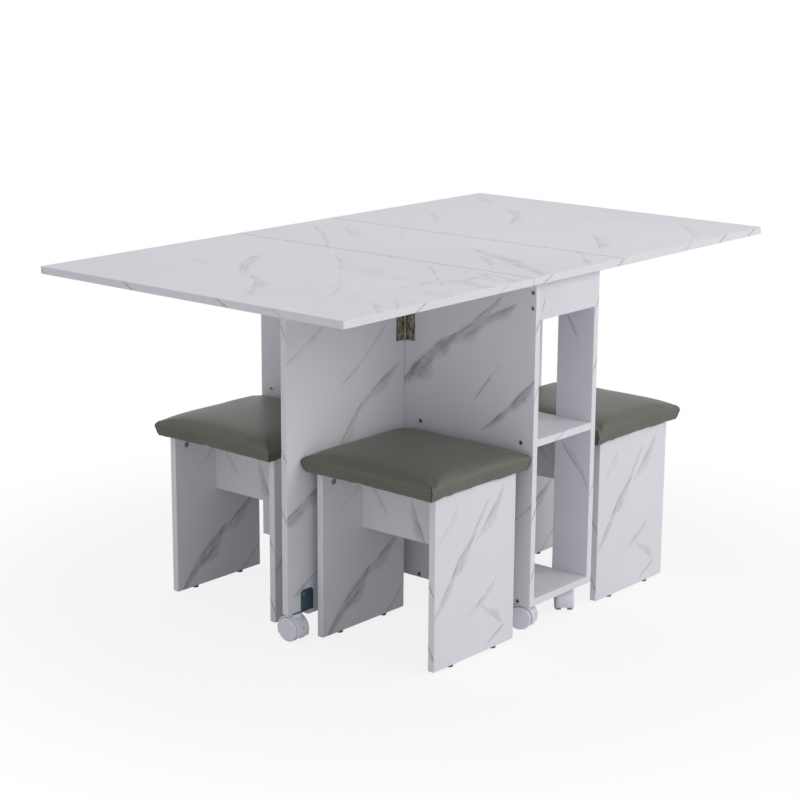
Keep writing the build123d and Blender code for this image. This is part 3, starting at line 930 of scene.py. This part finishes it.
@dataclass
class Screws:
    """Small fasteners, each modelled once and copied to its holes.

    A spin is how far the heads of a row turn from one to the next: radians, for each head or each metre.
    """

    finishes: Finishes
    socket_radius: float = 5.0 * MM
    socket_height: float = 1.1 * MM
    socket_hole: float = 3.0 * MM
    socket_floor: float = 0.15 * MM
    socket_rounding: float = 0.4 * MM
    pan_radius: float = 3.7 * MM
    pan_height: float = 1.1 * MM
    pan_rings: tuple[Pair, ...] = ((0.25, 0.3), (0.3, 0.15), (0.2, 0.05))
    pan_cross: Pair = (1.25, 0.36)
    panel_rows: tuple[float, ...] = (-345.0, -85.0, 85.0, 345.0)
    post_rows: tuple[float, ...] = (-345.0, 45.0, 345.0)
    panel_spin: float = 0.3
    post_spin: float = 0.4
    rail_shift: float = 15.5 * MM
    plate: float = 1.5 * MM
    knuckle: float = 3.0 * MM
    hinge_length: float = 62.0 * MM
    hole_pitch: float = 38.0 * MM
    leaf_rows: tuple[float, ...] = (-270.0, 0.0, 270.0)
    moving_reach: float = 17.0 * MM
    under_reach: float = 11.0 * MM
    panel_reach: float = 14.0 * MM
    leaf_spin: float = 40.0
    under_spin: float = 55.0
    gate_spin: float = 30.0
    fixed_spin: float = 47.0
    bracket_inset: float = 31.5 * MM
    bracket_drop: float = 9.0 * MM
    bracket_turn: float = 0.4
    caster_plate_centre: Triple = (68.0 * MM, 337.0 * MM, 60.0 * MM)
    caster_hole: float = 15.0 * MM

    def _socket_head(self) -> Thing:
        """Models a low round head with a deep six-sided socket, painted near-black inside as painted shade.
        """
        head = add_cylinder("socket head", self.socket_radius, 0.0, self.socket_height, 48)
        select_faces(head, lambda face: face.normal.z > 0.9)
        bpy.ops.mesh.inset(thickness=self.socket_radius - self.socket_hole)
        mesh = bmesh.from_edit_mesh(head.data)
        for vert in {vert for face in mesh.faces if face.select for vert in face.verts}:
            angle = math.atan2(vert.co.y, vert.co.x) % (math.pi / 3) - math.pi / 6
            vert.co.xy = vert.co.xy.normalized() * self.socket_hole * math.cos(math.pi / 6) / math.cos(angle)
        bmesh.update_edit_mesh(head.data)
        sunk = (0.0, 0.0, self.socket_floor - self.socket_height)
        bpy.ops.mesh.extrude_region_move(TRANSFORM_OT_translate={"value": sunk})
        outer = 0.95 * self.socket_radius
        round_edges(head, self.socket_rounding, 2, lambda vert: vert.co.xy.length > outer and vert.co.z > 0)
        bpy.ops.object.mode_set(mode="OBJECT")
        # The inside of the socket gets the near-black finish: painted shade in the recess.
        dress(head, self.finishes["zinc"], self.finishes["dark"])
        inside, under = 0.9 * self.socket_hole, 0.9 * self.socket_height
        paint_faces(head, lambda face: face.center.xy.length < inside and face.center.z < under)
        return head

    def _pan_head(self) -> Thing:
        """Models a domed head with a cross recess, its walls painted near-black as painted shade."""
        head = add_cylinder("pan head", self.pan_radius, 0.0, 0.5 * self.pan_height, 24)
        ring(head, 1, self.pan_rings, (self.pan_radius, self.pan_height))
        bpy.ops.object.mode_set(mode="OBJECT")
        length, width = (share * self.pan_radius for share in self.pan_cross)
        for turn in (0.0, math.pi / 2):
            carve(head, (length, width, self.pan_height), (0.0, 0.0, self.pan_height), turn)
        # The upright walls of the cross recess get the near-black finish: painted shade in the recess.
        dress(head, self.finishes["zinc"], self.finishes["dark"])
        middle = 0.5 * self.pan_height
        paint_faces(head, lambda face: abs(face.normal.z) < 0.1 and face.center.z > middle)
        shade(head, 30.0)
        return head

    def _cabinet(self, socket: Thing) -> None:
        """Sets the socket screws through the panel and the posts."""
        levels = [box_middle(name, 2) for name in ("shelf_middle", "shelf_bottom")]
        rail_y, rail_z = abs(box_middle("rail_front", 1)), box_middle("rail_front", 2)
        corners = product(SIGNS, SIGNS)
        rail_holes = [(end * rail_y, rail_z + shift * self.rail_shift) for shift, end in corners]
        places = []
        for node, sign, rows, spin in (
            ("side_panel", -1, self.panel_rows, self.panel_spin),
            ("post_front", 1, self.post_rows, self.post_spin),
        ):
            x = box_end(node, 0, sign)
            holes = [(y * MM, z) for z, y in product(levels, rows)] + rail_holes
            places += [facing((x, y, z), (sign, 0, 0), spin * index) for index, (y, z) in enumerate(holes)]
        place_piece(spread(socket, "cabinet_screws", places), "cabinet", "fitting")

    def _hinges(self, pan: Thing) -> None:
        """Sets the screws of the leaves' hinges and of the gates' hinges."""
        bodies = ("cabinet", "leaf_left", "leaf_right", "gate_left", "gate_right")
        spots: dict[str, list[Matrix]] = {body: [] for body in bodies}
        shifts = [sign * self.hole_pitch / 2 for sign in SIGNS]
        for (sign, side), wall in zip(SIDES, ("side_panel", "post_front")):
            node = f"leaf_hinge_{side}"
            x, z = box_end(node, 0, -sign), box_end(node, 2, 1) - self.plate
            for middle, shift in product(self.leaf_rows, shifts):
                y = middle * MM + shift
                leaf, under = (x + sign * self.moving_reach, y, z), (x - sign * self.under_reach, y, z)
                spots[f"leaf_{side}"].append(facing(leaf, (0, 0, -1), y * self.leaf_spin))
                spots["cabinet"].append(facing(under, (0, 0, -1), y * self.under_spin))
            node = f"gate_hinge_{side}"
            gate_x = box_end(node, 0, -sign) + sign * self.moving_reach
            gate_y = box_end(node, 1, -sign) + sign * self.plate
            wall_x = box_end(wall, 0, sign) + sign * self.plate
            wall_y = box_end(node, 1, sign) - sign * self.knuckle + sign * self.panel_reach
            bottoms = (box_end(node, 2, -1), box_end(node, 2, 1) - self.hinge_length)
            for bottom, shift in product(bottoms, shifts):
                z = bottom + self.hinge_length / 2 + shift
                spots[f"gate_{side}"].append(facing((gate_x, gate_y, z), (0, sign, 0), z * self.gate_spin))
                spots["cabinet"].append(facing((wall_x, wall_y, z), (sign, 0, 0), z * self.fixed_spin))
        for body, places in spots.items():
            place_piece(spread(pan, f"hinge_screws_{body}", places), body, "plated_steel")

    def _brackets(self, brass: Thing) -> None:
        """Sets the screw of each gate's bracket."""
        for sign, side in SIDES:
            node = f"gate_bracket_{side}"
            x, y = box_end(node, 0, sign) - sign * self.bracket_inset, box_end(node, 1, sign)
            spot = facing((x, y, box_end(node, 2, 1) - self.bracket_drop), (0, sign, 0), self.bracket_turn)
            place_piece(spread(brass, f"bracket_screw_{side}", [spot]), f"gate_{side}", "plated_steel")

    def _caster_plates(self, pan: Thing) -> None:
        """Sets four screws in each plate over the cabinet's casters."""
        centre_x, centre_y, z = self.caster_plate_centre
        places = []
        for side_x, side_y, shift_x, shift_y in product(SIGNS, repeat=4):
            x = side_x * centre_x + shift_x * self.caster_hole
            y = side_y * centre_y + shift_y * self.caster_hole
            places.append(facing((x, y, z), (0, 0, -1), side_x + shift_y))
        place_piece(spread(pan, "caster_plate_screws", places), "cabinet", "plated_steel")

    def build(self) -> None:
        """Sets every screw of the table."""
        socket = self._socket_head()
        self._cabinet(socket)
        pan = self._pan_head()
        self._hinges(pan)
        brass = show(bpy.data.objects.new("brass head", pan.data.copy()))
        dress(brass, self.finishes["brass"])
        self._brackets(brass)
        self._caster_plates(pan)
        drop(socket, pan, brass)


@dataclass
class Casters:
    """Hooded twin-wheel casters."""

    finishes: Finishes
    wheel_radius: float = 25.0 * MM
    wheel_inner: float = 7.0 * MM
    wheel_outer: float = 20.0 * MM
    tread_width: float = 7.0 * MM
    inner_rounding: float = 1.4 * MM
    outer_rounding: float = 4.2 * MM
    outer_rings: tuple[Pair, ...] = ((5.0, 0.0), (0.8, -0.9), (7.0, 0.5), (4.0, 0.4), (1.2, -0.8), (2.4, 0.4))
    inner_rings: tuple[Pair, ...] = ((2.5, 0.0), (0.6, 2.0))
    axle_radius: float = 3.0 * MM
    rivet_radius: float = 1.9 * MM
    rivet_ends: Pair = (-0.4 * MM, 0.7 * MM)
    rivet_rounding: float = 0.3 * MM
    rivet_reach: float = 29.0 * MM
    rivet_rise: float = math.radians(12.0)
    hood_rounding: float = 1.1 * MM

    def _wheel(self) -> Thing:
        """Models one wheel on the Z axis: a shallow white disc with a grey tread."""
        wheel = add_cylinder("wheel", self.wheel_radius, self.wheel_inner, self.wheel_outer, 64)
        ring(wheel, 1, self.outer_rings)
        ring(wheel, -1, self.inner_rings)
        rim, middle = 0.99 * self.wheel_radius, (self.wheel_inner + self.wheel_outer) / 2
        for way, width in ((-1, self.inner_rounding), (1, self.outer_rounding)):
            round_edges(wheel, width, 5, lambda v: v.co.xy.length > rim and (v.co.z - middle) * way > 0)
        bpy.ops.object.mode_set(mode="OBJECT")
        dress(wheel, self.finishes["white"], self.finishes["tread"])
        outer, top = 0.94 * self.wheel_radius, self.wheel_inner + self.tread_width
        paint_faces(wheel, lambda face: face.center.xy.length > outer and face.center.z < top)
        return wheel

    def _axle(self) -> Thing:
        """Models the axle between two wheels."""
        axle = add_cylinder("axle", self.axle_radius, -self.wheel_inner, self.wheel_inner, 24)
        bpy.ops.object.mode_set(mode="OBJECT")
        dress(axle, self.finishes["zinc"])
        return axle

    def _rivet(self) -> Thing:
        """Models a rivet with a soft rim."""
        rivet = add_cylinder("rivet", self.rivet_radius, *self.rivet_ends, 20)
        round_edges(rivet, self.rivet_rounding, 2, lambda vert: vert.co.z > 0)
        bpy.ops.object.mode_set(mode="OBJECT")
        dress(rivet, self.finishes["zinc"])
        return rivet

    def build(self) -> None:
        """Replaces the six casters."""
        wheel, axle, rivet = self._wheel(), self._axle(), self._rivet()
        white = self.finishes["white"]
        for joint in (joint for joint in frame["joints"] if joint["name"].endswith("_roll")):
            name = joint["child"].removeprefix("wheels_")
            centre, line = Vector(joint["pos_m"]), Vector(joint["axis"])
            twin = f"caster_twin_{name}"
            pair = spread(wheel, twin, [facing(centre, line), facing(centre, -line)])
            wheels = join([pair, spread(axle, "axle", [facing(centre, line)])], twin)
            shade(wheels, 40.0)
            place_piece(wheels, f"wheels_{name}", "caster_wheel", f"caster_wheels_{name}")
            hood = softened(f"caster_hood_{name}", f"caster_cover_{name}", self.hood_rounding)
            dress(hood, white)
            place_piece(hood, f"caster_{name}", "caster_plastic", f"caster_hood_{name}")
            dress_nodes(white, f"caster_wheels_{name}", f"caster_hood_{name}")
            ahead = line.cross(UP)
            for sign, end in ((-1, "back"), (1, "front")):
                way = ahead * (sign * math.cos(self.rivet_rise)) + UP * math.sin(self.rivet_rise)
                spot = facing(centre + way * self.rivet_reach, way)
                place_piece(spread(rivet, f"caster_rivet_{name}_{end}", [spot]), f"caster_{name}", "fitting")
        drop(wheel, axle, rivet)


@dataclass
class StoolHardware:
    """Cam locks and glides of the stools."""

    finishes: Finishes
    cam_radius: float = 5.9 * MM
    cam_ends: Pair = (-9.0 * MM, 0.3 * MM)
    cam_rings: tuple[Pair, ...] = ((1.3, 0.0), (0.3, -0.6))
    cam_drop: float = 27.0 * MM
    cam_x: float = 93.0 * MM
    cam_turn: float = 0.5
    slots: tuple[Pair, ...] = ((0.6, 8.0 * MM), (0.6 + math.pi / 2, 4.6 * MM))
    slot_width: float = 1.5 * MM
    slot_depth: float = 3.0 * MM
    slot_z: float = -0.6 * MM
    glide_x: float = 68.0 * MM
    glide_radius: float = 7.0 * MM
    glide_height: float = 5.0 * MM
    glide_rounding: float = 1.4 * MM

    def _cam(self) -> Thing:
        """Models a cam lock's face: a rim, a sunk disc and a cross slot. All but the sunk disc is painted
        near-black: painted shade in the cross slot, and a dark ring round the rim.
        """
        cam = add_cylinder("cam", self.cam_radius, *self.cam_ends, 36)
        ring(cam, 1, self.cam_rings)
        bpy.ops.object.mode_set(mode="OBJECT")
        for turn, length in self.slots:
            carve(cam, (length, self.slot_width, self.slot_depth), (0.0, 0.0, self.slot_z), turn)
        # Near-black on the rim and in the slot is painted shade; only the sunk disc shows zinc.
        dress(cam, self.finishes["dark"], self.finishes["zinc"])
        paint_faces(cam, lambda face: -0.2 * MM > face.center.z > -0.4 * MM and face.normal.z > 0.9)
        return cam

    def _glide(self) -> Thing:
        """Models a round glide with a soft lower edge."""
        glide = add_cylinder("glide", self.glide_radius, 0.0, self.glide_height, 32)
        round_edges(glide, self.glide_rounding, 4, lambda vert: vert.co.z < 0.1 * MM)
        bpy.ops.object.mode_set(mode="OBJECT")
        dress(glide, self.finishes["glide"])
        shade(glide, 40.0)
        return glide

    def build(self) -> None:
        """Replaces the hardware of each stool."""
        cam, glide = self._cam(), self._glide()
        for stool in STOOLS:
            centre = stool_centre(stool)
            cams, glides = [], []
            for name, way in (("leg_front", 1), ("leg_back", -1)):
                leg = f"stool_{stool}_{name}"
                face_y, cam_z = box_end(leg, 1, way), box_end(leg, 2, 1) - self.cam_drop
                for sign in SIGNS:
                    point = (centre.x + sign * self.cam_x, face_y, cam_z)
                    cams.append(facing(point, (0, way, 0), self.cam_turn * sign))
                    foot = (centre.x + sign * self.glide_x, box_middle(leg, 1), 0.0)
                    glides.append(Matrix.Translation(foot))
            fittings = f"stool_{stool}_fittings"
            dress_nodes(self.finishes["glide"], fittings)
            place_piece(spread(glide, f"glides_{stool}", glides), f"stool_{stool}", "fitting", fittings)
            place_piece(spread(cam, f"cam_locks_{stool}", cams), f"stool_{stool}", "fitting")
        drop(cam, glide)


@dataclass
class Cushion:
    """A padded seat in leather, wrapped round its thin board."""

    leather: Material
    fold_shade: Material
    half_x: float = 160.0 * MM
    half_y: float = 171.5 * MM
    bottom: float = 354.3 * MM
    skirt: float = 25.0 * MM
    crown: float = 23.0 * MM
    dome_power: float = 0.52
    taper: float = 8.0 * MM
    taper_power: float = 1.3
    corner: float = 5.0 * MM
    draw: float = 4.5 * MM
    wave: float = 2.0 * MM
    wave_pitch: float = 55.0 * MM
    top_calm: float = 0.6
    rim_power: int = 8
    corner_power: int = 6
    pucker: float = 6.0 * MM
    pucker_pitch: float = 38.0 * MM
    recess: Triple = (274.6 * MM, 298.6 * MM, 9.4 * MM)
    recess_overrun: float = 0.3 * MM
    cuts: int = 47
    voxel: float = 4.5 * MM
    cap: float = 3.0 * MM
    pressure: float = 4.0
    frames: int = 20
    held_height: float = 2.0 * MM
    fill: float = 0.85
    seam_radius: float = 1.1 * MM
    seam_levels: tuple[float, ...] = (0.03, 0.25, 0.5, 0.75, 0.92)
    seam_insets: Pair = (6.0 * MM, 13.0 * MM)

    def _shape(self, point: Vector) -> Vector:
        """Moves a point of the unit cube's skin onto the cushion's form."""
        u, v, w = (2.0 * part for part in point)
        reach_x = self.half_x - self.draw * (1.0 - v * v)
        reach_y = self.half_y - self.draw * (1.0 - u * u)
        x, y = u * reach_x, v * reach_y
        over_x, over_y = abs(x) - reach_x + self.corner, abs(y) - reach_y + self.corner
        if over_x > 0 and over_y > 0:
            squeeze = max(over_x, over_y) / math.hypot(over_x, over_y)
            x = math.copysign(reach_x - self.corner + over_x * squeeze, x)
            y = math.copysign(reach_y - self.corner + over_y * squeeze, y)
        level = (w + 1.0) / 2.0
        narrow = 1.0 - self.taper / self.half_x * (1.0 - level) ** self.taper_power
        dome = ((1.0 - u**4) * (1.0 - v**4)) ** self.dome_power
        z = self.bottom + self.skirt * level + (self.crown * dome if w > 0.999 else 0.0)
        ripple = self.wave * noise.noise(Vector((x, y, z)) / self.wave_pitch)
        rim = max(abs(u), abs(v)) ** self.rim_power
        away = Vector((x, y, 0.0)).normalized() * ripple * rim
        lift = rim * (1.0 - level) * (1.0 - min(abs(u), abs(v)) ** self.corner_power)
        z += self.pucker * lift * abs(noise.noise(Vector((x, y, self.pucker)) / self.pucker_pitch))
        return Vector((x * narrow, y * narrow, z)) + away * (1.0 - level * level * self.top_calm)

    def _inflate(self, pad: Thing) -> None:
        """Blows the pad up as cloth, holding its underside, and limits how far each point moves."""
        scene = bpy.context.scene
        before = [vert.co.copy() for vert in pad.data.vertices]
        low = self.bottom + self.held_height
        held = pad.vertex_groups.new(name="held")
        held.add([index for index, co in enumerate(before) if co.z < low], 1.0, "REPLACE")
        cloth = pad.modifiers.new("inflate", "CLOTH")
        cloth.settings.use_pressure = True
        cloth.settings.uniform_pressure_force = self.pressure
        cloth.settings.effector_weights.gravity = 0.0
        cloth.settings.vertex_group_mass = "held"
        cloth.settings.quality = 5
        cloth.point_cache.frame_end = self.frames
        for number in range(1, self.frames + 1):
            scene.frame_set(number)
        shown = pad.evaluated_get(bpy.context.evaluated_depsgraph_get())
        after = [vert.co.copy() for vert in shown.data.vertices]
        pad.modifiers.remove(cloth)
        pad.vertex_groups.remove(held)
        scene.frame_set(1)
        for vert, old, new in zip(pad.data.vertices, before, after):
            move = new - old
            if move.length > self.cap:
                move.length = self.cap
            vert.co = old + move

    def _pad(self) -> Thing:
        """Models the cushion about the stool's centre line."""
        deselect()
        bpy.ops.mesh.primitive_cube_add(size=1.0, location=(0.0, 0.0, 0.0))
        pad = bpy.context.object
        bpy.ops.object.mode_set(mode="EDIT")
        bpy.ops.mesh.subdivide(number_cuts=self.cuts)
        bpy.ops.object.mode_set(mode="OBJECT")
        for vert in pad.data.vertices:
            vert.co = self._shape(vert.co)
        pad.data.remesh_voxel_size = self.voxel
        bpy.ops.object.voxel_remesh()
        self._inflate(pad)
        smooth = pad.modifiers.new("ease", "SMOOTH")
        smooth.factor = 0.5
        smooth.iterations = 1
        finer = pad.modifiers.new("finer", "SUBSURF")
        finer.levels = finer.render_levels = 1
        settle(pad)
        for vert in pad.data.vertices:
            vert.co.z = max(vert.co.z, self.bottom)
        carve(pad, self.recess, (0.0, 0.0, self.bottom - self.recess_overrun + self.recess[2] / 2))
        shade(pad, 50.0)
        return pad

    def _welt_path(self, pad: Thing, out: Vector) -> list[Vector]:
        """Returns points down one corner of the pad and in over its top."""
        points = []
        for share in self.seam_levels:
            hit, spot, _, _ = pad.ray_cast(out * 0.4 + UP * (self.bottom + share * self.skirt), -out)
            if hit:
                points.append(spot + out * 0.3 * self.seam_radius)
        for inset in self.seam_insets:
            start = out * (Vector((self.half_x, self.half_y)).length - self.corner - inset)
            hit, spot, _, _ = pad.ray_cast(start + UP * 0.5, -UP)
            if hit:
                points.append(spot + UP * 0.2 * self.seam_radius)
        return points

    def _welts(self, pad: Thing) -> Thing:
        """Models the welts that run down the four corners: thin raised ridges of the leather's fold, coloured
        near-black as painted shade of the fold.
        """
        welts = []
        for sign_x, sign_y in product(SIGNS, SIGNS):
            out = Vector((sign_x * self.half_x, sign_y * self.half_y, 0.0)).normalized()
            points = self._welt_path(pad, out)
            path = bpy.data.curves.new("welt", "CURVE")
            path.dimensions = "3D"
            path.bevel_depth = self.seam_radius
            path.bevel_resolution = 3
            path.use_fill_caps = True
            line = path.splines.new("NURBS")
            line.points.add(len(points) - 1)
            for handle, point in zip(line.points, points):
                handle.co = (*point, 1.0)
            line.order_u = 3
            line.use_endpoint_u = True
            pick(show(bpy.data.objects.new("welt", path)))
            bpy.ops.object.convert(target="MESH")
            welts.append(bpy.context.object)
        joined = join(welts, "welts")
        shade(joined, 60.0)
        return joined

    def build(self) -> None:
        """Sets a cushion with its welts on each stool."""
        pad = self._pad()
        welts = self._welts(pad)
        for stool in STOOLS:
            body, node = f"stool_{stool}", f"stool_{stool}_cushion"
            place = [Matrix.Translation(stool_centre(stool))]
            seat = spread(pad, f"seat_{stool}", place)
            dress(seat, self.leather)
            dress_nodes(self.leather, node)
            place_piece(seat, body, "leather", node)
            seam = spread(welts, f"seat_welts_{stool}", place)
            # The welts wear the near-black leather: painted shade of the fold at each corner.
            dress(seam, self.fold_shade)
            place_piece(seam, body, "leather")
        drop(pad, welts)


@dataclass(frozen=True)
class Lamp:
    """A soft rectangular light: where it stands, what it faces, its size, watts and colour."""

    name: str
    place: Triple
    target: Triple
    size: Pair
    power: float
    tint: Triple

    def build(self) -> None:
        """Adds the light."""
        data = bpy.data.lights.new(self.name, "AREA")
        data.shape = "RECTANGLE"
        data.size, data.size_y = self.size
        data.energy = self.power
        data.color = self.tint
        lamp = show(bpy.data.objects.new(self.name, data))
        lamp.location = self.place
        away = Vector(self.place) - Vector(self.target)
        lamp.rotation_euler = away.to_track_quat("Z", "Y").to_euler()


LAMPS = (
    Lamp("key", (1.1, -4.1, 2.9), (0.0, 0.0, 0.4), (3.2, 2.2), 67.0, (1.0, 0.99, 0.98)),
    Lamp("overhead", (0.2, 0.0, 3.6), (0.0, 0.0, 0.7), (3.4, 3.4), 15.0, (0.98, 0.99, 1.0)),
    Lamp("fill", (-4.4, -2.4, 0.9), (0.0, 0.0, 0.4), (2.4, 1.6), 5.0, (0.97, 0.98, 1.0)),
)


@dataclass
class Studio:
    """Pale floor, soft lights and the camera."""

    lens: float = 89.94
    sensor: float = 36.0
    far: float = 60.0
    camera_place: Triple = (-3.2067, -2.6473, 1.4467)
    yaw: float = math.radians(49.795)
    pitch: float = math.radians(13.943)
    roll: float = math.radians(0.37)
    floor_half: float = 14.0
    floor_drop: float = 0.2 * MM
    shadow_reach: float = 0.7
    white_reach: float = 1.35
    floor_glow: float = 0.84
    mirrored_white: float = 0.9
    room: Colour = (0.47, 0.475, 0.488, 1.0)
    white: Colour = (1.0, 1.0, 1.0, 1.0)

    def _camera(self) -> None:
        """Sets the camera at the viewing angle."""
        data = bpy.data.cameras.new("camera")
        data.sensor_width = self.sensor
        data.lens = self.lens
        data.clip_end = self.far
        camera = show(bpy.data.objects.new("camera", data))
        bearing = Vector((math.sin(self.yaw), math.cos(self.yaw), 0.0))
        ahead = bearing * math.cos(self.pitch) - UP * math.sin(self.pitch)
        right = Vector((math.cos(self.yaw), -math.sin(self.yaw), 0.0))
        above = right.cross(ahead)
        rolled = right * math.cos(self.roll) + above * math.sin(self.roll)
        upward = above * math.cos(self.roll) - right * math.sin(self.roll)
        matrix = Matrix((rolled, upward, -ahead)).transposed().to_4x4()
        matrix.translation = self.camera_place
        camera.matrix_world = matrix
        bpy.context.scene.camera = camera

    def _floor(self) -> None:
        """Adds the floor, which turns plain white to the camera away from the table."""
        deselect()
        below = (0.0, 0.0, -self.floor_drop)
        bpy.ops.mesh.primitive_grid_add(
            x_subdivisions=4, y_subdivisions=4, size=2 * self.floor_half, location=below
        )
        floor = bpy.context.object
        floor.name = "floor"
        material, graph, shader, place = new_material("pale floor")
        tone = graph.mix(graph.noise(place, 0.6, 2.0), rgb(246, 246, 247), rgb(241, 241, 243))
        graph.feed(shader, "Base Color", tone)
        graph.feed(shader, "Roughness", 0.9)
        glow = graph.node("Emission", {"Color": self.white})
        open_floor = graph.step(graph.measure("LENGTH", place), self.shadow_reach, self.white_reach)
        seen = graph.node("LightPath").outputs["Is Camera Ray"]
        share = graph.times(seen, graph.scaled(open_floor, self.floor_glow, 1.0))
        blend = graph.node("MixShader", {0: share, 1: shader.outputs[0], 2: glow.outputs[0]})
        graph.feed(material.node_tree.nodes["Material Output"], "Surface", blend.outputs[0])
        dress(floor, material)

    def _surroundings(self) -> None:
        """Adds the even light all round, white to the camera and nearly white in reflections."""
        world = bpy.data.worlds.new("studio")
        bpy.context.scene.world = world
        world.use_nodes = True
        graph = Graph(world.node_tree)
        rays = graph.node("LightPath").outputs
        mirrored = graph.times(rays["Is Glossy Ray"], self.mirrored_white)
        seen = graph.largest([rays["Is Camera Ray"], mirrored])
        graph.feed(world.node_tree.nodes["Background"], "Color", graph.mix(seen, self.room, self.white))
        bpy.context.scene.view_settings.view_transform = "Standard"

    def build(self) -> None:
        """Sets up the whole studio."""
        self._floor()
        self._surroundings()
        for lamp in LAMPS:
            lamp.build()
        self._camera()
        LOG.info("studio set with %d lamps", len(LAMPS))


def make_finishes() -> Finishes:
    """Makes the finishes that several pieces share."""
    kinds = {
        "zinc": Plating("zinc", rgb(206, 207, 208), rgb(160, 160, 160), 0.22),
        "nickel": Plating("nickel", rgb(180, 175, 163), rgb(100, 95, 85), 0.22),
        "brass": Plating("brass", rgb(206, 170, 112), rgb(150, 116, 70), 0.26),
        # Near-black paint for painted shade in the recesses of screw heads and cam locks.
        "dark": Moulding("dark socket", rgb(22, 21, 22), rgb(38, 36, 36), 0.5),
        "paint": Moulding("blue-grey paint", rgb(58, 82, 96), rgb(84, 104, 116), 0.42),
        "white": Moulding("white plastic", rgb(243, 243, 250), rgb(222, 222, 230), 0.3),
        "tread": Moulding("grey tread", rgb(160, 156, 154), rgb(128, 125, 123), 0.62),
        "glide": Moulding("glide plastic", rgb(88, 88, 88), rgb(64, 64, 64), 0.5),
        "plywood": Plywood(),
        "leather": Leather(),
        # Near-black leather for the corner welts: painted shade of the leather's fold.
        "fold_shade": Leather("leather edging", rgb(36, 35, 32), rgb(46, 44, 40), rgb(26, 25, 23)),
    }
    return {name: kind.build() for name, kind in kinds.items()}


def main() -> None:
    """Builds the looks in order."""
    logging.basicConfig(level=logging.INFO, format="%(message)s")
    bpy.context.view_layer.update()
    finishes = make_finishes()
    Boards().build()
    Metalwork(finishes).build()
    Screws(finishes).build()
    Casters(finishes).build()
    StoolHardware(finishes).build()
    Cushion(finishes["leather"], finishes["fold_shade"]).build()
    Studio().build()


if __name__ == "__main__":
    main()
